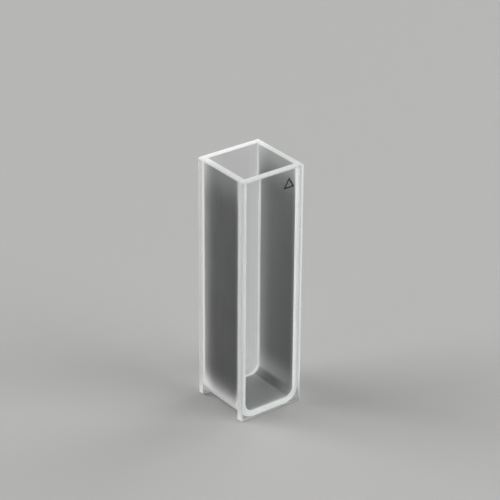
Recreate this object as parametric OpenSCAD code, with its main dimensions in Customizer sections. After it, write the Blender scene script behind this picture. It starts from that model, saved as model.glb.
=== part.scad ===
// Square cuvette for a spectrophotometer: a frosted U-shaped quartz frame,
// which is both side walls and the floor, fused between two polished windows.
// The light passes along Y. The origin is at the centre of the base, +Z up.

/* [Cell] */
// Light path, which is the gap between the two windows
path_length = 10; // [5:0.5:20]
// Clear width between the two frosted side walls
inside_w = 10; // [4:0.5:10]
// Overall height
cell_h = 45; // [20:1:60]

/* [Quartz] */
// Thickness of each polished window
window_t = 1.25; // [1:0.05:2]
// Thickness of the frame's side walls and floor
wall_t = 1.25; // [1:0.05:2]

/* [Corners and edges] */
// Inner radius where each side wall turns into the floor
corner_r = 1.75; // [0.8:0.05:1.9]
// Width of the chamfer ground on every outer edge of the cell
arris = 0.2; // [0.1:0.05:0.35]
// Width of the chamfer ground round the inside of the mouth
mouth_arris = 0.1; // [0.05:0.05:0.25]

/* [Hidden] */
outer_w = inside_w + 2 * wall_t;
outer_d = path_length + 2 * window_t;
outer_r = corner_r + wall_t;
// How far a cutter runs past the surface that it cuts
overcut = 1;
$fn = 64;

// Rectangle with its four corners cut off at 45 degrees
module cut_corner_rect(w, h, cut) {
    x = w / 2;
    y = h / 2;
    polygon([
        [x - cut, -y], [x, cut - y], [x, y - cut], [x - cut, y],
        [cut - x, y], [-x, y - cut], [-x, cut - y], [cut - x, -y]
    ]);
}

// The space that the finished cell fills: a block with every edge chamfered
module chamfered_block() {
    translate([0, 0, cell_h / 2])
        intersection() {
            linear_extrude(cell_h, center = true)
                cut_corner_rect(outer_w, outer_d, arris);
            rotate([90, 0, 0])
                linear_extrude(outer_d, center = true)
                    cut_corner_rect(outer_w, cell_h, arris);
            rotate([90, 0, 90])
                linear_extrude(outer_w, center = true)
                    cut_corner_rect(outer_d, cell_h, arris);
        }
}

// Section of the mouth's chamfer across a gap, widening to the rim and past it
module mouth_flare(gap) {
    low = gap / 2;
    high = low + mouth_arris + overcut;
    polygon([
        [-low, cell_h - mouth_arris], [low, cell_h - mouth_arris],
        [high, cell_h + overcut], [-high, cell_h + overcut]
    ]);
}

// Mitred chamfer round the inside of the mouth, as a cutter
module mouth_cutter() {
    intersection() {
        rotate([90, 0, 0])
            linear_extrude(outer_d + 2 * overcut, center = true)
                mouth_flare(inside_w);
        rotate([90, 0, 90])
            linear_extrude(outer_w + 2 * overcut, center = true)
                mouth_flare(path_length);
    }
}

// Grinds its children to the finished cell's edges
module ground() {
    difference() {
        intersection() {
            children();
            chamfered_block();
        }
        mouth_cutter();
    }
}

// Upright rectangle with two round lower corners, standing on the X axis
module round_bottomed(w, h, r) {
    translate([-w / 2, r])
        square([w, h - r]);
    translate([r - w / 2, 0])
        square([w - 2 * r, h]);
    for (side = [-1, 1])
        translate([side * (w / 2 - r), r])
            circle(r);
}

// The U of two walls and a floor, as seen along the light path
module u_section() {
    difference() {
        round_bottomed(outer_w, cell_h, outer_r);
        translate([0, wall_t])
            round_bottomed(inside_w, cell_h, corner_r);
    }
}

module u_frame() {
    color("silver")
        ground()
            rotate([90, 0, 0])
                linear_extrude(path_length, center = true)
                    u_section();
}

// Plate fused to the frame's rear end
module window_plate() {
    ground()
        translate([-outer_w / 2, path_length / 2, 0])
            cube([outer_w, window_t, cell_h]);
}

module front_window() {
    color("aliceblue", 0.4)
        mirror([0, 1, 0])
            window_plate();
}

module rear_window() {
    color("aliceblue", 0.4)
        window_plate();
}

u_frame();
front_window();
rear_window();
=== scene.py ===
"""Square quartz cuvette: a frosted U-shaped frame fused between two polished windows."""

import math

import bmesh
import bpy
from mathutils import Matrix, Vector


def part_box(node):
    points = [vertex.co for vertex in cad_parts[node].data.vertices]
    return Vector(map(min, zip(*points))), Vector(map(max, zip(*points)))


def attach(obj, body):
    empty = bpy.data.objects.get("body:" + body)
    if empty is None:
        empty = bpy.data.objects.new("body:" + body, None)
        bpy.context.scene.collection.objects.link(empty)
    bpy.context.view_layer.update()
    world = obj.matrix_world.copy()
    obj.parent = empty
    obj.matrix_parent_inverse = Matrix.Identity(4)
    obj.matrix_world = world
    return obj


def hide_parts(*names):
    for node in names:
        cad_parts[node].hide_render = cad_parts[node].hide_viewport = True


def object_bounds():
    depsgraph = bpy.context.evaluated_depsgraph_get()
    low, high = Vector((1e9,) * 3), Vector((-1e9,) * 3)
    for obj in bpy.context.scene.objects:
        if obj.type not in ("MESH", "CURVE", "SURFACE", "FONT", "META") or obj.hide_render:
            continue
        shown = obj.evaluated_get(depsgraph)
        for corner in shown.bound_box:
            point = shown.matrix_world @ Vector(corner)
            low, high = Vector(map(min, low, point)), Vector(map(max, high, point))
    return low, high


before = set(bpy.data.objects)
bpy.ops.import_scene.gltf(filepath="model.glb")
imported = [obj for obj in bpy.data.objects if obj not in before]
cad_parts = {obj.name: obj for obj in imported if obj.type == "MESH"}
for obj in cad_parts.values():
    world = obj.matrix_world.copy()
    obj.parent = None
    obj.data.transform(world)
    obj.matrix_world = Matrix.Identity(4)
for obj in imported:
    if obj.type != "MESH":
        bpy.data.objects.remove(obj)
cad_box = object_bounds()

MM = 0.001

# Sizes of the real cell, the same as the CAD part's
HALF_W = cad_box[1].x
HALF_D = cad_box[1].y
HEIGHT = cad_box[1].z
HALF_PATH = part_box("u_frame")[1].y
WALL = 1.25 * MM
HALF_INSIDE = HALF_W - WALL
CORNER_R = 1.75 * MM
TURN_TOP = WALL + CORNER_R
ARRIS = 0.2 * MM
MOUTH_ARRIS = 0.1 * MM
EDGE_SOFTENING = 0.04 * MM
# An edge that turns by more than this is sharp
SHARP_ANGLE = math.radians(20)
# The fused joint is drawn as a gap that is too thin to see, so that its two faces stay apart
JOINT_GAP = 0.008 * MM

ARC_STEPS = 20
# Flat faces get an extra row of points this far from a curve, so that their shading stays flat
SUPPORT = 0.1 * MM

# Index mark on the front window
MARK_X = 3.1 * MM
MARK_Z = 42.2 * MM
MARK_RADIUS = 1.3 * MM
MARK_STROKE = 0.28 * MM
MARK_DEPTH = 0.01 * MM

# The same for all quartz
QUARTZ_IOR = 1.46
GRAIN_SIZE = 0.5 * MM
CLOUD_SIZE = 4.0 * MM
GRIT_SIZE = 0.08 * MM
GRIT_DEPTH = 0.0008 * MM
# Blender's noise seldom leaves this range
NOISE_RANGE = (0.3, 0.7)

# Polished quartz has been wiped where the clouds pass this level, and is this rough at most there
CLEAR_COLOUR = (0.99, 1.0, 1.0)
WIPED_FROM = 0.5
WIPED_ROUGHNESS = 0.015

# Frosted quartz varies between these two from grain to grain
FROSTED_DARK = (0.208, 0.217, 0.213)
FROSTED_LIGHT = (0.265, 0.275, 0.271)
FROSTED_CLEARNESS = 0.8
# Below 0.28 the denoiser would look through the surface and smear it
FROSTED_ROUGHNESS = (0.30, 0.38)
# Its grains are this many times as long down the wall
STREAK_STRETCH = 12
# Painted light on the frosted faces: a pale strip along the rear seam, where the fused joint shows through,
# and a painted glow by both seams
PAINTED_LIGHT_COLOUR = (0.96, 0.97, 0.96)
PAINTED_STRIP_WIDTH = 0.74 * MM
PAINTED_STRIP_BLUR = 0.25 * MM
PAINTED_LIGHT_CLEARNESS = 0.1
SEAM_GLOW_WIDTH = 5.0 * MM
OUTER_SEAM_GLOW = 0.5
INNER_SEAM_GLOW = 0.3
FRONT_SEAM_GLOW_WIDTH = 1.1 * MM
FRONT_SEAM_GLOW = 0.35
# Painted light: the faces pale towards the rim, and the outer ones towards the foot
RIM_GLOW_WIDTH = 9.0 * MM
OUTER_RIM_GLOW = 0.24
INNER_RIM_GLOW = 0.45
OUTER_FOOT_GLOW_WIDTH = 9.0 * MM
OUTER_FOOT_GLOW = 1.25
# Painted light inside: the wall pales down to its turn, and the cell's floor is paler than the wall, most in
# front
INNER_FOOT_GLOW_WIDTH = 5.5 * MM
INNER_FOOT_GLOW = 0.3
INNER_FOOT_GLOW_END = WALL + CORNER_R / 2
CELL_FLOOR_TOP = WALL + CORNER_R / 8
CELL_FLOOR_GLOW = 0.17
CELL_FLOOR_FRONT_GLOW_WIDTH = 4.0 * MM
CELL_FLOOR_FRONT_GLOW = 0.25
# The inner face darkens towards this colour: so far at the rim, above the turn, at the turn's rear and front
SHADOW_COLOUR = (0.08, 0.084, 0.082)
RIM_DARKNESS = 0.5
DEPTH_DARKNESS = 0.75
TURN_DARKNESS = 1.0
TURN_FRONT_DARKNESS = 0.1
TURN_DARKEST = WALL + 0.45 * CORNER_R
# Share of the clearness that is left where the inner face is darkest, and the roughness added there
SHADOW_CLEARNESS = 0.4
SHADOW_ROUGHNESS = 0.5

# White film of the fused joint, with painted shade that dims it up the left wall
JOINT_DARK = (0.90, 0.92, 0.91)
JOINT_LIGHT = (0.97, 0.98, 0.97)
JOINT_PAINTED_SHADE = (0.80, 0.812, 0.806)
JOINT_PAINTED_SHADE_WIDTH = 3.5 * MM
JOINT_ROUGHNESS = 0.9
JOINT_SHARE_THROUGH = 0.1

# White ground edges. Painted shade dims the rim's front half, and its rear half whitens to the edges' colour
EDGE_COLOUR = (0.97, 0.98, 0.97)
RIM_PAINTED_SHADE = (0.74, 0.75, 0.74)
# Share of their colour that is left where the grain is worn
WORN = 0.92
EDGE_ROUGHNESS = (0.45, 0.6)
EDGE_SPECULAR = 0.1
EDGE_SHARE_THROUGH = 0.55
RIM_SHARE_THROUGH = 0.15
# Towards the foot, the edges send back more of the light and are whiter
FOOT_SHARE_THROUGH = 0.02
FOOT_HEIGHT = 4.0 * MM

MARK_COLOUR = (0.02, 0.021, 0.023)
# The ink is this many times as pale where it is worn
MARK_WORN = 2.5
MARK_ROUGHNESS = 0.8
MARK_SPECULAR = 0.2


# ---------------------------------------------------------------- materials

class Finish:
    """A material in the making: its Principled shader, and the nodes that feed it."""

    def __init__(self, name):
        self.material = bpy.data.materials.new(name)
        self.material.use_nodes = True
        self.nodes = self.material.node_tree.nodes
        self.links = self.material.node_tree.links
        self.shader = self.nodes["Principled BSDF"]
        self.place = self.nodes.new("ShaderNodeTexCoord").outputs["Object"]

    def feed(self, node, values):
        """Sets a node's inputs. A value is a number, a colour or a socket to link from."""
        for name, value in values.items():
            socket = node.inputs[name]
            if isinstance(value, bpy.types.NodeSocket):
                self.links.new(value, socket)
            elif isinstance(value, tuple):
                socket.default_value = (*value, 1)
            else:
                socket.default_value = value

    def shade(self, values):
        self.feed(self.shader, values)

    def axis(self, name):
        """One coordinate of the point on the object: X, Y or Z."""
        split = self.nodes.new("ShaderNodeSeparateXYZ")
        self.feed(split, {"Vector": self.place})
        return split.outputs[name]

    def ramp(self, value, start, end, low=0.0, high=1.0):
        """Goes smoothly from low to high as value goes from start to end."""
        step = self.nodes.new("ShaderNodeMapRange")
        step.interpolation_type = "SMOOTHSTEP"
        self.feed(step, {"Value": value, "From Min": start, "From Max": end, "To Min": low, "To Max": high})
        return step.outputs["Result"]

    def noise(self, size, detail=2, stretch=1):
        """Noise from 0 to 1, with spots of about this size, stretch times as long along Z."""
        place = self.nodes.new("ShaderNodeMapping")
        self.feed(place, {"Vector": self.place})
        place.inputs["Scale"].default_value = (1, 1, 1 / stretch)
        texture = self.nodes.new("ShaderNodeTexNoise")
        self.feed(texture, {"Vector": place.outputs["Vector"], "Scale": 1 / size, "Detail": detail})
        return self.ramp(texture.outputs["Fac"], *NOISE_RANGE)

    def calculate(self, operation, a, b):
        node = self.nodes.new("ShaderNodeMath")
        node.operation = operation
        self.feed(node, {0: a, 1: b})
        return node.outputs[0]

    def blend(self, factor, a, b):
        """Colour a where factor is 0, and b where it is 1."""
        mix = self.nodes.new("ShaderNodeMix")
        mix.data_type = "RGBA"
        # The node has sockets for each type of data, and 6, 7 and 2 are those for colours
        self.feed(mix, {"Factor": factor, 6: a, 7: b})
        return mix.outputs[2]

    def painted_glow(self, value, start, end, strength):
        """Painted light that grows from 0 at start to strength at end, slowly at first."""
        return self.calculate("MULTIPLY", strength, self.calculate("POWER", self.ramp(value, start, end), 2))

    def pits(self):
        """Normal of a face that is pitted by the grit it was ground with."""
        node = self.nodes.new("ShaderNodeBump")
        self.feed(node, {"Height": self.noise(GRIT_SIZE, detail=3), "Distance": GRIT_DEPTH})
        return node.outputs["Normal"]

    def mix_in(self, share, other):
        """Mixes this share of another shader into the surface."""
        mix = self.nodes.new("ShaderNodeMixShader")
        self.feed(mix, {0: share, 1: self.shader.outputs["BSDF"], 2: other})
        self.feed(self.nodes["Material Output"], {"Surface": mix.outputs["Shader"]})

    def scatter_through(self, colour, share):
        """Lets this share of the light that falls on a white ground face through it, scattered."""
        through = self.nodes.new("ShaderNodeBsdfTranslucent")
        self.feed(through, {"Color": colour})
        self.mix_in(share, through.outputs["BSDF"])


def clear_quartz():
    """Polished quartz, made faintly rough where it has been wiped."""
    finish = Finish("clear_quartz")
    wiped = finish.ramp(finish.noise(CLOUD_SIZE), WIPED_FROM, 1.0, 0.0, WIPED_ROUGHNESS)
    finish.shade({"Base Color": CLEAR_COLOUR, "IOR": QUARTZ_IOR, "Transmission Weight": 1.0,
                  "Roughness": wiped})
    return finish.material


def painted_light_mask(finish, along, height, seam_glow, rim_glow, foot_glow):
    """Painted light on a frosted face: most by the seams, and then towards the rim and where the foot
    function says.
    """
    seam = HALF_PATH - PAINTED_STRIP_WIDTH
    painted_strip = finish.ramp(along, seam - PAINTED_STRIP_BLUR, seam + PAINTED_STRIP_BLUR)
    rear = finish.painted_glow(along, HALF_PATH - SEAM_GLOW_WIDTH, HALF_PATH, seam_glow)
    front = finish.painted_glow(along, FRONT_SEAM_GLOW_WIDTH - HALF_PATH, -HALF_PATH, FRONT_SEAM_GLOW)
    rim = finish.painted_glow(height, HEIGHT - RIM_GLOW_WIDTH, HEIGHT, rim_glow)
    seams = finish.calculate("ADD", rear, front)
    ends = finish.calculate("ADD", rim, foot_glow(finish, along, height))
    return finish.calculate("MAXIMUM", painted_strip, finish.calculate("ADD", seams, ends))


def frosted_quartz(name, seam_glow, rim_glow, foot_glow, shadow=None):
    """Ground quartz of the frame's faces, with streaks down the wall.

    Its last two arguments, functions of the finish and the place, give painted light low down and painted
    shade.
    """
    finish = Finish(name)
    along = finish.axis("Y")
    height = finish.axis("Z")
    # Painted light turns the face towards its white colour and lets less light through it
    pale = painted_light_mask(finish, along, height, seam_glow, rim_glow, foot_glow)
    streaks = finish.noise(GRAIN_SIZE, stretch=STREAK_STRETCH)
    grain = finish.calculate("MULTIPLY", 0.5, finish.calculate("ADD", streaks, finish.noise(CLOUD_SIZE)))
    plain = finish.blend(grain, FROSTED_DARK, FROSTED_LIGHT)
    roughness = finish.ramp(grain, 0, 1, *FROSTED_ROUGHNESS)
    clearness = finish.ramp(pale, 0, 1, FROSTED_CLEARNESS, PAINTED_LIGHT_CLEARNESS)
    if shadow:
        darkness = shadow(finish, along, height)
        share = finish.ramp(darkness, 0, 1, 1.0, SHADOW_CLEARNESS)
        added = finish.ramp(darkness, 0, 1, 0.0, SHADOW_ROUGHNESS)
        plain = finish.blend(darkness, plain, SHADOW_COLOUR)
        clearness = finish.calculate("MULTIPLY", clearness, share)
        roughness = finish.calculate("ADD", roughness, added)
    finish.shade({"Base Color": finish.blend(pale, plain, PAINTED_LIGHT_COLOUR), "Roughness": roughness,
                  "IOR": QUARTZ_IOR, "Transmission Weight": clearness, "Normal": finish.pits()})
    return finish.material


def outer_foot_painted_light(finish, along, height):
    """Painted light of the outer face towards the surface that the cell stands on."""
    return finish.painted_glow(height, OUTER_FOOT_GLOW_WIDTH, 0.0, OUTER_FOOT_GLOW)


def inner_foot_painted_light(finish, along, height):
    """Painted light of the inner face: on the wall down to its turn, on the floor, and at the floor's front
    end.
    """
    low = finish.painted_glow(height, TURN_TOP + INNER_FOOT_GLOW_WIDTH, TURN_TOP, INNER_FOOT_GLOW)
    wall = finish.calculate("MULTIPLY", low, finish.ramp(height, INNER_FOOT_GLOW_END, TURN_TOP))
    front = finish.painted_glow(along, CELL_FLOOR_FRONT_GLOW_WIDTH - HALF_PATH, -HALF_PATH, CELL_FLOOR_FRONT_GLOW)
    floor = finish.calculate("MULTIPLY", finish.calculate("ADD", CELL_FLOOR_GLOW, front),
                             finish.ramp(height, CELL_FLOOR_TOP, WALL))
    return finish.calculate("ADD", wall, floor)


def inner_shadow(finish, along, height):
    """Darkness of the inner face, which grows down the wall to the turn's rear and spares the floor."""
    wall = finish.ramp(height, HEIGHT, TURN_TOP, RIM_DARKNESS, DEPTH_DARKNESS)
    turn = finish.ramp(along, -HALF_PATH, 0.0, TURN_FRONT_DARKNESS, TURN_DARKNESS)
    return finish.calculate("MULTIPLY", finish.ramp(height, TURN_TOP, TURN_DARKEST, wall, turn),
                            finish.ramp(height, WALL, CELL_FLOOR_TOP))


def fused_joint():
    """The white film of the frame's ground ends, fused to the windows, with painted shade up the left wall.
    """
    finish = Finish("fused_joint")
    white = finish.blend(finish.noise(GRAIN_SIZE), JOINT_DARK, JOINT_LIGHT)
    joint_unshaded = finish.ramp(finish.axis("X"), -HALF_W, JOINT_PAINTED_SHADE_WIDTH - HALF_W)
    finish.shade({"Base Color": finish.blend(joint_unshaded, JOINT_PAINTED_SHADE, white),
                  "Roughness": JOINT_ROUGHNESS, "Specular IOR Level": 0.0})
    finish.scatter_through(JOINT_LIGHT, JOINT_SHARE_THROUGH)
    return finish.material


def scaled(colour, share):
    return tuple(share * c for c in colour)


def ground_white(finish, fresh, worn, share_through):
    """Makes the finish ground white quartz, whose grain runs from worn to fresh."""
    grain = finish.noise(GRAIN_SIZE)
    finish.shade({"Base Color": finish.blend(grain, worn, fresh),
                  "Roughness": finish.ramp(grain, 0, 1, *EDGE_ROUGHNESS), "IOR": QUARTZ_IOR,
                  "Specular IOR Level": EDGE_SPECULAR, "Normal": finish.pits()})
    finish.scatter_through(fresh, share_through)
    return finish.material


def ground_side():
    """Sides and foot of the windows, whiter towards the foot, where they let less light through."""
    finish = Finish("ground_side")
    share = finish.ramp(finish.axis("Z"), 0.0, FOOT_HEIGHT, FOOT_SHARE_THROUGH, EDGE_SHARE_THROUGH)
    return ground_white(finish, EDGE_COLOUR, scaled(EDGE_COLOUR, WORN), share)


def ground_rim():
    """Rim of the cell, with painted shade that makes its front half dimmer than its rear half."""
    finish = Finish("ground_rim")
    rim_unshaded = finish.ramp(finish.axis("Y"), 0.0, HALF_D)
    fresh = finish.blend(rim_unshaded, RIM_PAINTED_SHADE, EDGE_COLOUR)
    worn = finish.blend(rim_unshaded, scaled(RIM_PAINTED_SHADE, WORN), scaled(EDGE_COLOUR, WORN))
    return ground_white(finish, fresh, worn, RIM_SHARE_THROUGH)


def index_ink():
    finish = Finish("index_ink")
    worn = scaled(MARK_COLOUR, MARK_WORN)
    finish.shade({"Base Color": finish.blend(finish.noise(GRAIN_SIZE), MARK_COLOUR, worn),
                  "Roughness": MARK_ROUGHNESS, "Specular IOR Level": MARK_SPECULAR})
    return finish.material


# ------------------------------------------------------------------- pieces

# Places of the finishes in the materials of a window and of the frame
POLISHED, WINDOW_SIDES, WINDOW_RIM = range(3)
INNER_FACE, OUTER_FACE, END_FACE, FRAME_RIM = range(4)


def add_piece(name, bm, materials, slot, *nodes):
    """Makes an object of the mesh, which rides on the cell and replaces the CAD nodes."""
    mesh = bpy.data.meshes.new(name)
    bm.to_mesh(mesh)
    bm.free()
    for mat in materials:
        mesh.materials.append(mat)
    piece = bpy.data.objects.new(name, mesh)
    bpy.context.scene.collection.objects.link(piece)
    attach(piece, "root")
    if nodes:
        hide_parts(*nodes)
    return piece


def faces_light(face):
    """Whether a face is square to the light path."""
    return abs(face.normal.y) > 0.99


def is_on_rim(face):
    return face.calc_center_median().z > HEIGHT - ARRIS


def window_block(inner_y, outer_y):
    """A window with sharp edges, and the corners of its inner face, two of which end the mouth's edge."""
    bm = bmesh.new()
    foot = [(HALF_W, 0), (-HALF_W, 0)]
    top = [(-HALF_W, HEIGHT), (HALF_W, HEIGHT)]
    mouth = [(-HALF_INSIDE, HEIGHT), (HALF_INSIDE, HEIGHT)]
    inner = [bm.verts.new((x, inner_y, z)) for x, z in foot + top[:1] + mouth + top[1:]]
    outer = [bm.verts.new((x, outer_y, z)) for x, z in foot + top]
    bm.faces.new(inner)
    bm.faces.new(outer)
    bm.faces.new((inner[0], inner[1], outer[1], outer[0]))
    bm.faces.new((inner[1], inner[2], outer[2], outer[1]))
    bm.faces.new(inner[2:] + outer[:1:-1])
    bm.faces.new((inner[5], inner[0], outer[0], outer[3]))
    bmesh.ops.recalc_face_normals(bm, faces=bm.faces)
    return bm, inner


def chamfer(bm, edges, width, segments=1):
    bmesh.ops.bevel(bm, geom=edges, offset=width, segments=segments, affect="EDGES",
                    offset_type="OFFSET", clamp_overlap=False)


def window_piece(node, side, finishes):
    """One window plate. side is -1 for the front one and 1 for the rear one.

    Its finishes are those of the polished faces, of the ground sides and foot, and of the rim.
    """
    bm, inner = window_block(side * HALF_PATH, side * HALF_D)
    outer_edges = [e for e in bm.edges if not set(e.verts) <= set(inner)]
    mouth_edge = [e for e in inner[3].link_edges if e.other_vert(inner[3]) is inner[4]]
    chamfer(bm, mouth_edge, MOUTH_ARRIS)
    chamfer(bm, [e for e in outer_edges if e.is_valid], ARRIS)
    chamfer(bm, [e for e in bm.edges if e.calc_face_angle() > SHARP_ANGLE], EDGE_SOFTENING, segments=2)
    for face in bm.faces:
        if faces_light(face):
            face.material_index = POLISHED
        else:
            face.material_index = WINDOW_RIM if is_on_rim(face) else WINDOW_SIDES
    return add_piece(node + "_glass", bm, finishes, "clear_quartz", node)


def u_path():
    """Stations down one wall, along the floor and up the other: (x, z, outward x, outward z)."""
    turn_x = HALF_INSIDE - CORNER_R
    corner = [(HALF_INSIDE, TURN_TOP + SUPPORT, 1, 0)]
    for k in range(ARC_STEPS + 1):
        a = math.pi / 2 * k / ARC_STEPS
        nx, nz = math.cos(a), -math.sin(a)
        corner.append((turn_x + CORNER_R * nx, TURN_TOP + CORNER_R * nz, nx, nz))
    corner.append((turn_x - SUPPORT, WALL, 0, -1))
    return corner + [(-x, z, -nx, nz) for x, z, nx, nz in reversed(corner)]


def wall_section():
    """The wall's section, from its outer side on: (distance outward from the inner face, y)."""
    end = HALF_PATH - JOINT_GAP
    return [(WALL, -end), (WALL, end), (0, end), (0, -end)]


def mouth_rings(section, side):
    """A wall's rings at the mouth, round its top and round its chamfer's foot. side is 1 on the right."""
    def ring(outer_inset, inner_inset, outer_drop, inner_drop):
        return [(side * (HALF_INSIDE + (o - outer_inset if o else inner_inset)), y,
                 HEIGHT - (outer_drop if o else inner_drop)) for o, y in section]

    return [ring(ARRIS, MOUTH_ARRIS, 0, 0), ring(0, 0, ARRIS, MOUTH_ARRIS)]


def frame_piece(finishes):
    """The U-shaped frame. Its finishes are those of the inner face, the outer face, the ends and the rim."""
    section = wall_section()
    right, left = mouth_rings(section, 1), mouth_rings(section, -1)
    turns = [[(x + nx * o, y, z + nz * o) for o, y in section] for x, z, nx, nz in u_path()]
    bm = bmesh.new()
    rings = [[bm.verts.new(p) for p in ring] for ring in right + turns + left[::-1]]
    n = len(section)
    for a, b in zip(rings, rings[1:]):
        for k in range(n):
            face = bm.faces.new((a[k], a[(k + 1) % n], b[(k + 1) % n], b[k]))
            face.material_index = OUTER_FACE if k == 0 else INNER_FACE
    bm.faces.new(rings[0])
    bm.faces.new(rings[-1])
    bmesh.ops.recalc_face_normals(bm, faces=bm.faces)
    for face in bm.faces:
        if faces_light(face):
            face.material_index = END_FACE
        elif is_on_rim(face):
            face.material_index = FRAME_RIM
        face.smooth = True
    for edge in bm.edges:
        edge.smooth = edge.calc_face_angle() < SHARP_ANGLE
    return add_piece("u_frame_glass", bm, finishes, "frosted_quartz", "u_frame")


def mark_piece(ink):
    """Small outlined triangle just under the front window's face, which shows the cell's front."""
    bm = bmesh.new()
    outline = []
    # A stroke of even width brings a triangle's corners in by twice that width
    for reach in (MARK_RADIUS, MARK_RADIUS - 2 * MARK_STROKE):
        for k in range(3):
            a = 2 * math.pi * k / 3
            outline.append((MARK_X + reach * math.sin(a), MARK_Z + reach * math.cos(a)))
    layers = [[bm.verts.new((x, y, z)) for x, z in outline]
              for y in (-HALF_D + MARK_DEPTH, -HALF_D + 2 * MARK_DEPTH)]
    near, far = layers
    for k in range(3):
        n = (k + 1) % 3
        bm.faces.new((near[k], near[n], near[n + 3], near[k + 3]))
        bm.faces.new((far[k], far[n], far[n + 3], far[k + 3]))
        for at, to in ((k, n), (k + 3, n + 3)):
            bm.faces.new((near[at], near[to], far[to], far[at]))
    bmesh.ops.recalc_face_normals(bm, faces=bm.faces)
    return add_piece("index_mark", bm, [ink], "frosted_quartz")


def make_cell():
    rim = ground_rim()
    window_finishes = [clear_quartz(), ground_side(), rim]
    window_piece("front_window", -1, window_finishes)
    window_piece("rear_window", 1, window_finishes)
    # Both frosted finishes carry painted light, and the inside one painted shade as well
    inside = frosted_quartz("frosted_inside", INNER_SEAM_GLOW, INNER_RIM_GLOW, inner_foot_painted_light, inner_shadow)
    outside = frosted_quartz("frosted_outside", OUTER_SEAM_GLOW, OUTER_RIM_GLOW, outer_foot_painted_light)
    frame_piece([inside, outside, fused_joint(), rim])
    mark_piece(index_ink())


# -------------------------------------------------------------------- stage

FLOOR_COLOUR = (0.42, 0.42, 0.415)
FLOOR_ROUGHNESS = 0.9
FLOOR_SPECULAR = 0.1
FLOOR_SIZE = 12.0
# The floor lies this far below the cell's foot, so that the two don't share a plane
FLOOR_DROP = 0.02 * MM
# Strength of the light from all round
AMBIENT = 0.32
# What the camera, gloss and glass see beyond the near floor, which fades into it between these distances
BACKDROP = 0.44
FLOOR_FADE = (0.25, 0.6)

# Soft boxes: distance from the cell's centre and size in metres, and of each its angles and its watts
BOX_DISTANCE = 1.75
BOX_SIZE = 1.25
KEY_AZIMUTH = 28
KEY_ELEVATION = 32
KEY_POWER = 19.5
FILL_AZIMUTH = -130
FILL_ELEVATION = 34
FILL_POWER = 22
SIDE_AZIMUTH = 95
SIDE_ELEVATION = 20
SIDE_POWER = 15

# The photo's view. The angles are in degrees, and the camera aims CAMERA_RISE above the cell's centre
CAMERA_AZIMUTH = -36.98
CAMERA_ELEVATION = 27.58
CAMERA_ROLL = 0.376
CAMERA_DISTANCE = 356.5 * MM
CAMERA_RISE = 5.31 * MM
FOCAL_LENGTH = 152.7
SENSOR_WIDTH = 36

CELL_CENTRE = Vector((0, 0, HEIGHT / 2))


def direction(azimuth, elevation):
    """From the cell towards these angles in degrees. Azimuth 0 is in front of it, and 90 to its right."""
    a, e = math.radians(azimuth), math.radians(elevation)
    return Vector((math.sin(a) * math.cos(e), -math.cos(a) * math.cos(e), math.sin(e)))


def seen_level(nodes, links):
    """1 for rays from the camera, gloss and glass, and 0 for the rays that light things."""
    path = nodes.new("ShaderNodeLightPath")
    seen = path.outputs["Is Camera Ray"]
    for ray in ("Is Glossy Ray", "Is Transmission Ray"):
        either = nodes.new("ShaderNodeMath")
        either.operation = "MAXIMUM"
        links.new(seen, either.inputs[0])
        links.new(path.outputs[ray], either.inputs[1])
        seen = either.outputs[0]
    return seen


def floor_material():
    """Matt grey, which fades into the pale backdrop away from the cell."""
    finish = Finish("floor")
    finish.shade({"Base Color": FLOOR_COLOUR, "Roughness": FLOOR_ROUGHNESS,
                  "Specular IOR Level": FLOOR_SPECULAR})
    reach = finish.nodes.new("ShaderNodeVectorMath")
    reach.operation = "LENGTH"
    finish.feed(reach, {0: finish.place})
    far = finish.calculate("MULTIPLY", finish.ramp(reach.outputs["Value"], *FLOOR_FADE),
                           seen_level(finish.nodes, finish.links))
    backdrop = finish.nodes.new("ShaderNodeEmission")
    finish.feed(backdrop, {"Color": (1.0, 1.0, 1.0), "Strength": BACKDROP})
    finish.mix_in(far, backdrop.outputs["Emission"])
    return finish.material


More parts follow.
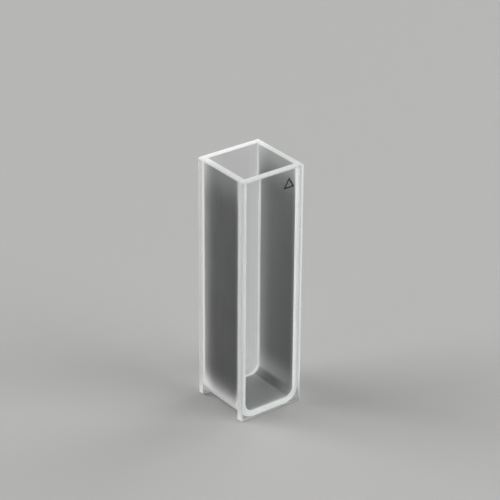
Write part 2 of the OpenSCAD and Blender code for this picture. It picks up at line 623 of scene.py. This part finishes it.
def make_floor():
    bm = bmesh.new()
    bmesh.ops.create_grid(bm, x_segments=1, y_segments=1, size=FLOOR_SIZE / 2)
    mesh = bpy.data.meshes.new("floor")
    bm.to_mesh(mesh)
    bm.free()
    mesh.materials.append(floor_material())
    floor = bpy.data.objects.new("floor", mesh)
    bpy.context.scene.collection.objects.link(floor)
    floor.location.z = -FLOOR_DROP


def make_world():
    world = bpy.data.worlds.new("studio")
    world.use_nodes = True
    nodes, links = world.node_tree.nodes, world.node_tree.links
    level = nodes.new("ShaderNodeMapRange")
    level.inputs["To Min"].default_value = AMBIENT
    level.inputs["To Max"].default_value = BACKDROP
    links.new(seen_level(nodes, links), level.inputs["Value"])
    background = nodes["Background"]
    background.inputs["Color"].default_value = (1, 1, 1, 1)
    links.new(level.outputs["Result"], background.inputs["Strength"])
    bpy.context.scene.world = world


def add_softbox(name, azimuth, elevation, power):
    back = direction(azimuth, elevation)
    lamp = bpy.data.lights.new(name, "AREA")
    lamp.size = BOX_SIZE
    lamp.energy = power
    box = bpy.data.objects.new(name, lamp)
    bpy.context.scene.collection.objects.link(box)
    box.location = CELL_CENTRE + back * BOX_DISTANCE
    box.rotation_mode = "QUATERNION"
    box.rotation_quaternion = (-back).to_track_quat("-Z", "Y")


def make_camera():
    back = direction(CAMERA_AZIMUTH, CAMERA_ELEVATION)
    data = bpy.data.cameras.new("camera")
    data.lens = FOCAL_LENGTH
    data.sensor_width = SENSOR_WIDTH
    camera = bpy.data.objects.new("camera", data)
    bpy.context.scene.collection.objects.link(camera)
    turn = (-back).to_track_quat("-Z", "Y")
    turn = turn @ Matrix.Rotation(math.radians(CAMERA_ROLL), 3, "Z").to_quaternion()
    up = turn @ Vector((0, 1, 0))
    camera.rotation_mode = "QUATERNION"
    camera.rotation_quaternion = turn
    camera.location = CELL_CENTRE + up * CAMERA_RISE + back * CAMERA_DISTANCE
    bpy.context.scene.camera = camera


make_camera()
make_cell()
make_floor()
make_world()
add_softbox("key", KEY_AZIMUTH, KEY_ELEVATION, KEY_POWER)
add_softbox("fill", FILL_AZIMUTH, FILL_ELEVATION, FILL_POWER)
add_softbox("side", SIDE_AZIMUTH, SIDE_ELEVATION, SIDE_POWER)
bpy.context.scene.view_settings.view_transform = "Standard"
# Filter Glossy dims whatever lies behind a polished window, so it is off
bpy.context.scene.cycles.blur_glossy = 0
